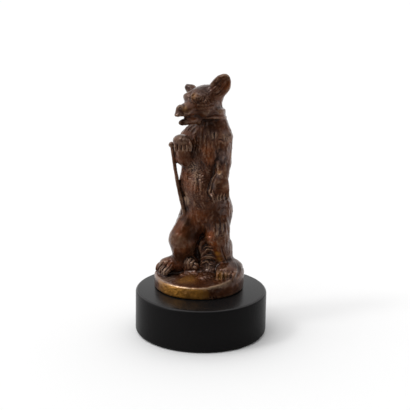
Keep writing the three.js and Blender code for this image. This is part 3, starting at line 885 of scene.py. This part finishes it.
# Colour spots that the photo shows: the middle of each, its reach and its strength
toneSpots = {
    # painted shade: darker in hollows and gaps, under overhangs, and over the parts that the light leaves
    # dark
    "paintedShade": {
        "leftToes": ((16.4, -7.6, 37.8), 3.4, 0.6), "shinHollow": ((-4.6, -2.6, 51), 3.4, 0.4),
        "thighHollow": ((-4, -3.4, 58), 3.4, 0.9), "staffLow": ((-13.6, 0.6, 86), 5, 0.5),
        "staff": ((-16.4, 0.2, 101), 4, 0.4), "groundRight": ((3, -7.5, 34), 4, 0.5),
        "groundLeft": ((-5, -3.6, 34.4), 4, 0.6), "ground": ((4, -6, 34), 6, 0.45),
        "muzzle": ((-12, -10, 136), 3.6, 0.5), "staffGap": ((-10.6, 2.6, 70), 2.4, 0.8),
        "claws": ((12, -9, 36.5), 3, 0.7), "leftFoot": ((20.6, -2, 40.5), 4.5, 0.8),
        "groin": ((-1, -3.6, 68), 5, 0.3), "farEar": ((-8.5, 10.8, 142.8), 4, 0.7),
        "elbow": ((-11, -3.5, 101), 3.4, 0.6), "forearm": ((-9.5, -4.5, 106), 3.6, 0.6),
        "forearmFront": ((-13, -5, 106), 3.4, 0.6), "breast": ((-4.5, -2.5, 108), 4.2, 0.7),
        "breastTop": ((-3, -3, 117), 3.2, 0.4), "collarShade": ((3, -2, 124.6), 4.5, 0.6),
        "arm": ((7.4, -3.5, 103.5), 2.4, 0.3), "palm": ((8.6, -8, 90), 2.6, 0.35),
        "besideBelly": ((2, -5, 92.5), 2.4, 0.5), "thighInside": ((-6.6, -4, 58.5), 4.2, 0.85),
        "thighTop": ((-8.6, -2, 67), 3, 0.9), "shin": ((-11.8, -1.2, 44.6), 4.6, 0.85),
        "mouth": ((-9, -6, 130), 2.4, 0.5), "cheek": ((-2, -4, 132), 3.6, 0.5),
        "throatShelf": ((-8.4, 4.6, 120.4), 4.6, 0.85), "jaw": ((-12, -10, 127.5), 3.2, 0.85),
        "crown": ((-1, 0, 143.5), 5, 0.8), "hip": ((9, -4, 74), 4, 0.3), "head": ((-3, 0, 139), 9, 0.6),
        "nearEar": ((9.5, -0.5, 148), 5, 0.4), "paw": ((-12, -6, 117.5), 4, 0.5),
        "rightThigh": ((-13, -4, 60), 6, 0.5), "rightFoot": ((-22, 4, 37), 5, 0.4),
    },
    # rubbed wear on raised parts, and among it painted highlights, as on the belly, the hand's edges and
    # the terrace's left
    "rubbingAndHighlight": {
        "recess": ((-3, -1, 48), 3.4, 0.3), "ridgesTop": ((4.4, -0.6, 50.6), 2.8, 0.7),
        "claws": ((-11.2, -8.4, 111.6), 4, 0.4), "forearm": ((-15.6, -4, 107), 2, 0.3),
        "fingers": ((9.6, -6.8, 81.6), 2.8, 0.4), "abdomenFill": ((-9.8, 0.2, 80.5), 2.6, 1),
        "terraceLeft": ((-20.5, -4.4, 33), 5, 0.6), "abdomen": ((-9.2, -1, 79), 2.4, 1),
        "abdomenTop": ((-9.8, -1.2, 83), 1.6, 0.6), "bellyTop": ((-6, -1.6, 99), 3, 0.9),
        "bellySide": ((-3.6, -3.2, 95.5), 2.6, 0.75), "belly": ((-4, -4, 91), 3.4, 0.4),
        "wrist": ((9.8, -6.4, 97.4), 1.3, 0.8), "handEdge": ((6, -6.6, 93.6), 1.3, 0.7),
        "handLow": ((4.3, -6.6, 86.6), 1.2, 0.7), "handFoot": ((5.6, -6.6, 83), 1.1, 0.6),
        "handFar": ((14.6, -5.8, 84), 1.2, 0.6), "chestTuft": ((5.4, -3, 118), 1.8, 0.6),
        "chestTuftRight": ((7.2, -3, 118.4), 1.4, 0.5), "shoulderEdge": ((13, -2.4, 117), 2, 0.5),
        "armEdge": ((15.4, 0, 106), 1.6, 0.4), "knee": ((8.8, -6, 61), 1.6, 0.8),
        "thighLock": ((11.6, -6, 63.5), 1.4, 0.5), "tuft": ((-6.2, -1.6, 41.4), 3, 0.75),
        "ridges": ((4.6, -2.6, 45.4), 2.4, 0.85), "waves": ((3.4, -3.4, 41.6), 2.6, 0.85),
        "brow": ((-5.4, -3.6, 141.4), 1.8, 0.4), "temple": ((0.4, -2.6, 139.4), 2, 0.3),
        "muzzle": ((-11, -9.6, 135.8), 1.8, 0.35), "rightToes": ((-23.6, 1, 36.6), 2.4, 0.3),
    },
    "warmth": {
        "forearm": ((-12, -4, 104), 6, 0.5), "breast": ((2.7, -4.6, 110.3), 3.2, 0.7),
        "breastLow": ((3.9, -4.3, 104.4), 3.2, 0.7), "throat": ((-8.8, 4.2, 119.4), 3, 0.8),
        "groin": ((-1.5, -3.6, 69.5), 5, 0.6), "innerThigh": ((4.1, -4.9, 59.5), 4, 0.8),
        "stripeTop": ((7, -6, 55.5), 2, 1), "stripe": ((8.4, -4, 50.5), 1.9, 1),
        "stripeFoot": ((9.8, -2.2, 45.2), 1.9, 0.9), "stripeEnd": ((10.6, -1.4, 41.8), 2.4, 0.5),
        "rightThigh": ((-13, -4.6, 62), 4.5, 0.6), "rightThighInside": ((-8, -4.4, 57), 4, 0.3),
        "earRight": ((12.2, -0.2, 146.8), 2.6, 0.8), "mouth": ((-8, -5, 130.5), 3, 0.8),
        "belly": ((-9, -1.5, 92), 6, 0.4), "bellyLock": ((-3.9, -5, 88), 3, 0.4),
        "ankle": ((-17.5, 2.5, 38.5), 3.5, 0.5), "shin": ((-13, -1.5, 47), 4, 0.2),
        "terrace": ((-6.5, -6.9, 33), 7, 0.35), "back": ((2, 20, 100), 9, 0.4),
        "side": ((12, 18, 70), 7, 0.5), "haunch": ((-8, 22, 60), 6, 0.6), "hocks": ((2, 20, 48), 6, 0.6),
    },
    "gilding": {
        "stripeFoot": ((10.4, -2, 44.4), 1.5, 0.5), "terrace": ((-8.5, -9, 33.2), 5, 0.45),
        "claws": ((10.9, -9.3, 36.5), 2.4, 0.4), "clawsRight": ((14, -9.6, 36.8), 2, 0.25),
        "muzzle": ((-10.6, -10.2, 135.4), 1.6, 0.2), "thumb": ((9.3, -6.6, 97.6), 1, 0.3),
        "stripe": ((9.2, -3.4, 48), 1.6, 0.9), "brow": ((-5.5, -4, 141), 1.8, 0.12),
    },
    # a painted sheen: the grey of reflected light on edges and on faces turned to the light
    "paintedSheen": {
        "forehead": ((-0.6, -2.2, 143.6), 4.2, 0.5), "farEar": ((-9.5, 10.8, 143.6), 3, 1),
        "farBrow": ((-9.2, -1.5, 139.2), 2.8, 0.7), "nose": ((-14.2, -11, 135.8), 1.6, 0.35),
        "lip": ((-13.6, -11.4, 132.6), 2, 0.4), "jaw": ((-12.6, -10, 128.4), 2, 0.1),
        "paw": ((-12, -7, 118.3), 4, 0.4), "breastLight": ((5.4, -3.2, 118.5), 3.4, 0.5),
        "leftShoulder": ((12.9, -2.6, 118), 3.2, 0.9), "leftArm": ((11.6, -3.8, 106), 4.2, 0.9),
        "leftArmEdge": ((14.4, -1.6, 110), 2.6, 0.8), "wrist": ((9.6, -6.6, 96), 1.8, 0.7),
        "handEdge": ((5.6, -7, 90), 1.6, 0.7), "bellyTop": ((-5.4, -2.2, 98.6), 3.6, 0.8),
        "bellySide": ((-4, -3.4, 93.5), 3, 0.5), "abdomen": ((-9.4, -1, 79.5), 2.6, 1),
        "hip": ((12, -2, 76), 4, 0.3), "leftThigh": ((11, -6, 64), 3.2, 0.6),
        "knee": ((9, -6, 60.5), 1.6, 0.8), "leftShin": ((13.8, -3.6, 52), 3.4, 0.5),
        "tuft": ((-6.4, -1.2, 41.2), 3.6, 0.7), "waves": ((3.8, -3, 40.6), 3, 0.5),
        "leftFoot": ((19.6, -3.5, 40.5), 4, 0.5), "toes": ((14.6, -8.6, 37.6), 2.4, 0.2),
        "rightFoot": ((-23.6, 3.4, 37.2), 3.4, 0.2), "terraceLeft": ((-20, -4.4, 33), 6, 1),
        "terraceFront": ((-11, -9, 33), 6, 0.5), "foreleg": ((-17, 0, 106), 1.6, 0.7),
        "thighEdge": ((-17.2, -1.5, 60), 1.8, 0.7), "rightSide": ((-10, 18, 112), 8, 0.5),
        "loins": ((4, 20, 84), 8, 0.4),
    },
}


def toneAt(points, spots):
    tone = np.zeros(len(points))
    for place, reach, strength in spots.values():
        gap = gapTo(points, place) / reach
        tone = np.maximum(tone, strength * np.exp(-gap ** 3))
    return tone


# The terrace's rim is worn from one turn to another, in degrees. A painted highlight runs along its
# upper edge and is brightest at two of the turns
rimValues = {
    "goldFrom": -156,
    "goldTo": -74,
    "fade": 18,
    "gold": 0.95,
    "inset": 0.7,
    "insetFade": 0.4,
    "top": 32.6,
    "topFade": 0.6,
    "edgeInset": 0.3,
    "edgeReach": 0.18,
    "edgeTop": 36,
    "bright": [(-116, 16, 1), (-80, 30, 0.4)],
}


def rimWearAndHighlight(points):
    # the worn gold on the terrace's front left, and a painted highlight: the bright line along its upper
    # edge
    low, high = (np.array(corner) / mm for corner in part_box("bear"))
    radius = (high[0] - low[0]) / 2
    x = points[:, 0] - (high[0] + low[0]) / 2
    y = points[:, 1] - (low[1] + radius)
    z = points[:, 2]
    values = rimValues
    turn = np.degrees(np.arctan2(y, x))
    past = np.hypot(x, y) - radius
    start = rise(turn, values["goldFrom"], values["fade"])
    end = fall(turn, values["goldTo"], values["fade"])
    onSide = rise(past, -values["inset"], values["insetFade"]) * fall(z, values["top"], values["topFade"])
    onEdge = np.exp(-((past + values["edgeInset"]) / values["edgeReach"]) ** 2)
    onEdge = onEdge * (z > values["top"] - values["topFade"]) * (z < values["edgeTop"])
    bright = sum(lit * np.exp(-((turn - at) / reach) ** 4) for at, reach, lit in values["bright"])
    return onSide * start * end * values["gold"], onEdge * np.clip(bright, 0, 1)


finishValues = {
    "plainFoot": 0.5,
    "sink": 0.06,
    "fineRounds": 4,
    "fineDepth": 0.08,
    "broadRounds": 60,
    "broadDepth": 0.9,
}


def hollowness(points, normals, edges, rounds):
    # how deep each point lies under its surroundings
    return np.sum((evened(points, edges, rounds) - points) * normals, axis=1)


def finishBear(bear):
    values = finishValues
    points, normals, edges = readMesh(bear)
    height = layFur(points, normals, edges)
    drawLines(bear, height, points)
    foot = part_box("bear")[0].z / mm
    height += unevenness(points) * (points[:, 2] > foot + values["plainFoot"])
    points = points + normals * (height - values["sink"])[:, None]
    points[:, 2] = np.maximum(points[:, 2], foot)
    writePoints(bear, points)
    share = bearValues["mostTriangles"] / (2 * len(bear.data.polygons))
    if share < 1:
        finishWith(bear, "DECIMATE", ratio=share)
    points, normals, edges = readMesh(bear)
    # how far in each point lies, for the painted shade in grooves and hollows
    fine = evened(hollowness(points, normals, edges, values["fineRounds"]), edges, 1)
    broad = hollowness(points, normals, edges, values["broadRounds"])
    keepReading(bear, "fineHollow", np.clip(fine / values["fineDepth"], -1, 1))
    keepReading(bear, "broadHollow", np.clip(broad / values["broadDepth"], -1, 1))
    # painted shade, the patina's warmth, a painted sheen, and rubbed wear with painted highlights
    for name in ("paintedShade", "warmth", "paintedSheen", "rubbingAndHighlight"):
        keepReading(bear, name, toneAt(points, toneSpots[name]))
    side, edge = rimWearAndHighlight(points)
    keepReading(bear, "gilding", np.maximum(toneAt(points, toneSpots["gilding"]), side))
    # a painted highlight along the terrace's upper edge
    keepReading(bear, "edgeHighlight", edge)
    takeUp(bear)
    bpy.ops.object.shade_smooth()
    bear.data.materials.clear()
    print("bear: finished,", len(bear.data.polygons), "faces")


# Plinth: a turned disc with rounded edges

plinthValues = {
    "topRound": 1.6,
    "footRound": 2.4,
    "sides": 192,
    "roundSteps": 8,
    "highlightAt": 60,
    "highlightReach": 10,
    "smoothBelow": 30,
    "black": (0.0085, 0.008, 0.0082),
    # the grey of the painted highlight on the top edge
    "highlightGrey": (0.05, 0.047, 0.048),
    "roughness": 0.24,
    "specular": 0.088,
}


def turnPlinth():
    low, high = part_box("plinth")
    radius = (high.x - low.x) / 2 / mm
    tall = (high.z - low.z) / mm
    top, foot = plinthValues["topRound"], plinthValues["footRound"]
    profile = []
    steps = plinthValues["roundSteps"]
    for height, edge, first in ((foot, foot, -90), (tall - top, top, 0)):
        for n in range(steps + 1):
            turn = math.radians(first + 90 * n / steps)
            profile.append((radius - edge + edge * math.cos(turn), height + edge * math.sin(turn)))
    putDown()
    bpy.ops.mesh.primitive_circle_add(
        vertices=plinthValues["sides"], radius=profile[0][0] * mm, fill_type="NGON",
        location=(0, 0, profile[0][1] * mm))
    piece = bpy.context.object
    piece.name = "plinthDisc"
    bpy.ops.object.mode_set(mode="EDIT")
    bpy.ops.mesh.select_all(action="SELECT")
    for (wide, level), (nextWide, nextLevel) in zip(profile[:-1], profile[1:]):
        up = (nextLevel - level) * mm
        bpy.ops.mesh.extrude_region_move(TRANSFORM_OT_translate={"value": (0, 0, up)})
        bpy.ops.transform.resize(value=(nextWide / wide, nextWide / wide, 1))
    bpy.ops.mesh.select_all(action="SELECT")
    bpy.ops.mesh.normals_make_consistent(inside=False)
    bpy.ops.object.mode_set(mode="OBJECT")
    settle(piece)
    points = readMesh(piece)[0]
    # a painted highlight: a lighter band on the top edge's rounding, at the slope where the light from
    # above catches it
    out = np.hypot(points[:, 0], points[:, 1]) - radius + top
    slope = np.degrees(np.arctan2(points[:, 2] - tall + top, out))
    highlight = np.exp(-((slope - plinthValues["highlightAt"]) / plinthValues["highlightReach"]) ** 2)
    keepReading(piece, "edgeHighlight", highlight * (out > 0))
    takeUp(piece)
    bpy.ops.object.shade_smooth_by_angle(angle=math.radians(plinthValues["smoothBelow"]))
    print("plinth: turned")
    return piece


# Finishes

def newMaterial(name):
    material = bpy.data.materials.new(name)
    material.use_nodes = True
    return material, material.node_tree, material.node_tree.nodes["Principled BSDF"]


def setInputs(node, inputs):
    # an input takes a value or the output of another node
    for name, value in inputs.items():
        if isinstance(value, bpy.types.NodeSocket):
            node.id_data.links.new(value, node.inputs[name])
        else:
            node.inputs[name].default_value = value


def addNode(tree, kind, inputs, **settings):
    node = tree.nodes.new(kind)
    for name, value in settings.items():
        setattr(node, name, value)
    setInputs(node, inputs)
    return node.outputs


def spread(tree, value, low=0, high=1, least=0, most=1, **settings):
    # the value, moved from its range of low to high onto the range of least to most
    inputs = {"Value": value, "From Min": low, "From Max": high, "To Min": least, "To Max": most}
    return addNode(tree, "ShaderNodeMapRange", inputs, **settings)["Result"]


def blend(tree, factor, under, over):
    # over is laid on under where the factor is 1
    inputs = {"Factor": factor, "A": under, "B": (*over, 1)}
    return addNode(tree, "ShaderNodeMix", inputs, data_type="RGBA")["Result"]


def reading(tree, name, low=0, high=1, most=1):
    # an attribute of the mesh, from 0 at low to most at high
    attribute = addNode(tree, "ShaderNodeAttribute", {}, attribute_name=name)
    return spread(tree, attribute["Fac"], low, high, 0, most)


def times(tree, first, second):
    return addNode(tree, "ShaderNodeMath", {0: first, 1: second}, operation="MULTIPLY")["Value"]


def clouds(tree, place, scale, low, high):
    # soft patches, from 0 to 1
    inputs = {"Vector": place, "Scale": scale, "Detail": 3, "Roughness": 0.6}
    return spread(tree, addNode(tree, "ShaderNodeTexNoise", inputs)["Fac"], low, high)


# Metallic goes up where the bronze is gilt, roughness goes up in the small patches, and the coat
# goes down where shade is painted. Patches have a scale and the limits between which they fade.
bronzeValues = {
    # the colour of painted shade
    "shadeBrown": (0.008, 0.0026, 0.0009),
    "brown": (0.066, 0.02, 0.0075),
    "lightBrown": (0.135, 0.043, 0.016),
    "warm": (0.25, 0.06, 0.009),
    # the grey of the painted sheen
    "sheenGrey": (0.122, 0.094, 0.092),
    # the colour of rubbed wear and of painted highlights
    "rubbedAndHighlight": (0.36, 0.22, 0.135),
    "gold": (0.82, 0.38, 0.065),
    # the colour of the painted highlight along the terrace's upper edge
    "edge": (0.9, 0.64, 0.4),
    "patches": (110, 0.38, 0.64),
    "smallPatches": (420, 0.35, 0.62),
    "raised": ("fineHollow", 0.5, -0.3),
    "giltLeast": 0.45,
    "metallic": (0.5, 0.95),
    "roughness": (0.28, 0.44),
    "coat": (0.6, 0.12),
    "coatRoughness": 0.12,
    "specular": 0.1,
    "grain": {"Scale": 2200, "Detail": 2},
    "bump": {"Strength": 0.2, "Distance": 0.0001},
}
# The colours laid on, the lowest first: a reading, where it begins and ends, how strongly it then
# shows, the colour, and the mask that it keeps to
bronzeLayers = [
    ("warmth", 0, 1, 0.85, "warm", "all"),
    # a painted sheen from the grey spots
    ("paintedSheen", 0, 1, 0.6, "sheenGrey", "all"),
    # painted shade: darker in the fine grooves and the broad hollows
    ("fineHollow", 0.15, 1, 0.5, "shadeBrown", "all"),
    ("broadHollow", 0, 0.8, 0.62, "shadeBrown", "all"),
    # lighter on the raised ridges in small patches: rubbed wear, partly a painted highlight
    ("fineHollow", -0.15, -1, 0.55, "rubbedAndHighlight", "smallPatches"),
    # painted shade from the dark spots
    ("paintedShade", 0, 1, 0.85, "shadeBrown", "all"),
    # rubbed wear and painted highlights from the rubbed spots
    ("rubbingAndHighlight", 0, 1, 0.9, "rubbedAndHighlight", "raised"),
    ("gilding", 0, 1, 1, "gold", "giltPatches"),
    # the painted highlight along the terrace's upper edge
    ("edgeHighlight", 0, 1, 1, "edge", "all"),
]


def bronzeFinish():
    values = bronzeValues
    material, tree, shader = newMaterial("patinatedBronze")
    place = addNode(tree, "ShaderNodeTexCoord", {})["Object"]
    patches = clouds(tree, place, *values["patches"])
    masks = {
        "all": 1,
        "smallPatches": clouds(tree, place, *values["smallPatches"]),
        "raised": reading(tree, *values["raised"]),
        "giltPatches": spread(tree, patches, least=values["giltLeast"]),
    }
    colour = blend(tree, patches, (*values["brown"], 1), values["lightBrown"])
    for name, low, high, most, over, mask in bronzeLayers:
        shown = times(tree, reading(tree, name, low, high, most), masks[mask])
        colour = blend(tree, shown, colour, values[over])
    gilt = times(tree, reading(tree, "gilding"), masks["giltPatches"])
    grain = addNode(tree, "ShaderNodeTexNoise", {"Vector": place, **values["grain"]})["Fac"]
    setInputs(shader, {
        "Base Color": colour,
        "Metallic": spread(tree, gilt, 0, 1, *values["metallic"]),
        "Roughness": spread(tree, masks["smallPatches"], 0, 1, *values["roughness"]),
        "Specular IOR Level": values["specular"],
        "Coat Weight": spread(tree, reading(tree, "paintedShade"), 0, 1, *values["coat"]),
        "Coat Roughness": values["coatRoughness"],
        "Normal": addNode(tree, "ShaderNodeBump", {"Height": grain, **values["bump"]})["Normal"],
    })
    return material


def plinthFinish():
    material, tree, shader = newMaterial("satinBlack")
    black = (*plinthValues["black"], 1)
    setInputs(shader, {
        # the painted highlight on the top edge
        "Base Color": blend(tree, reading(tree, "edgeHighlight"), black, plinthValues["highlightGrey"]),
        "Roughness": plinthValues["roughness"],
        "Specular IOR Level": plinthValues["specular"],
    })
    return material


# Build

bear = castBear()
finishBear(bear)
bear.data.materials.append(bronzeFinish())
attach(bear, "root")
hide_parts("bear")

plinth = turnPlinth()
plinth.data.materials.append(plinthFinish())
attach(plinth, "root")
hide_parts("plinth")


# Studio

studioValues = {
    "brightSide": (-0.3, 0.7, 0.65),
    "skyFrom": -0.6,
    "skyTo": 0.9,
    "darkSky": 0.03,
    "brightSky": 1.12,
    "backdrop": 0.973,
    "floor": (0.96, 0.96, 0.96),
    "floorSize": 6,
    "floorRoughness": 0.7,
    "card": (0.04, 0.04, 0.04),
    "cardMiddle": (0.05, -0.62, 0),
    "cardReach": (0.62, 0.85, 1),
    "cardFull": 0.5,
}


def addFloor():
    values = studioValues
    putDown()
    bpy.ops.mesh.primitive_plane_add(size=values["floorSize"])
    floor = bpy.context.object
    floor.name = "floor"
    material, tree, shader = newMaterial("paleFloor")
    # the bronze mirrors a soft dark card that lies in front of it
    place = addNode(tree, "ShaderNodeTexCoord", {})["Object"]
    laid = {"Vector": place, "Location": values["cardMiddle"], "Scale": values["cardReach"]}
    laid = addNode(tree, "ShaderNodeMapping", laid, vector_type="TEXTURE")["Vector"]
    card = addNode(tree, "ShaderNodeTexGradient", {"Vector": laid}, gradient_type="SPHERICAL")["Fac"]
    mirrored = addNode(tree, "ShaderNodeLightPath", {})["Is Glossy Ray"]
    seen = times(tree, spread(tree, card, high=values["cardFull"]), mirrored)
    setInputs(shader, {
        "Base Color": blend(tree, seen, (*values["floor"], 1), values["card"]),
        "Roughness": values["floorRoughness"],
        "Specular IOR Level": 0,
    })
    floor.data.materials.append(material)


lampValues = {
    "softbox": {"from": (-0.45, -0.2, 0.87), "strength": 0.65, "spread": 44},
    "spot": {"from": (-0.6, -0.25, 0.75), "strength": 0.35, "spread": 10},
}


def addLamp(name, values):
    # a light from above left, wide and soft where its spread is large
    putDown()
    bpy.ops.object.light_add(type="SUN")
    lamp = bpy.context.object
    lamp.name = name
    lamp.data.energy = values["strength"]
    lamp.data.angle = math.radians(values["spread"])
    lamp.rotation_euler = (-Vector(values["from"])).to_track_quat("-Z", "Y").to_euler()


def addStudio():
    # a sky that is bright behind and above, which the camera sees as an even pale backdrop
    addFloor()
    for name, lamp in lampValues.items():
        addLamp(name, lamp)
    values = studioValues
    world = bpy.data.worlds.new("studio")
    scene.world = world
    world.use_nodes = True
    tree = world.node_tree
    place = addNode(tree, "ShaderNodeTexCoord", {})["Generated"]
    lean = {0: place, 1: values["brightSide"]}
    lean = addNode(tree, "ShaderNodeVectorMath", lean, operation="DOT_PRODUCT")["Value"]
    sky = [values[name] for name in ("skyFrom", "skyTo", "darkSky", "brightSky")]
    sky = spread(tree, lean, *sky, interpolation_type="SMOOTHSTEP")
    seen = addNode(tree, "ShaderNodeLightPath", {})["Is Camera Ray"]
    choice = {"Factor": seen, "A": sky, "B": values["backdrop"]}
    choice = addNode(tree, "ShaderNodeMix", choice, data_type="FLOAT")["Result"]
    setInputs(tree.nodes["Background"], {"Strength": choice, "Color": (1, 1, 1, 1)})
    scene.view_settings.view_transform = "Standard"


def addCamera():
    putDown()
    bpy.ops.object.camera_add()
    camera = bpy.context.object
    camera.matrix_world = photoPlace()
    camera.data.lens = photoView["lens"]
    camera.data.sensor_width = photoView["sensor"]
    camera.data.clip_start = photoView["nearest"] * mm
    scene.camera = camera


addStudio()
addCamera()
print("studio: set")
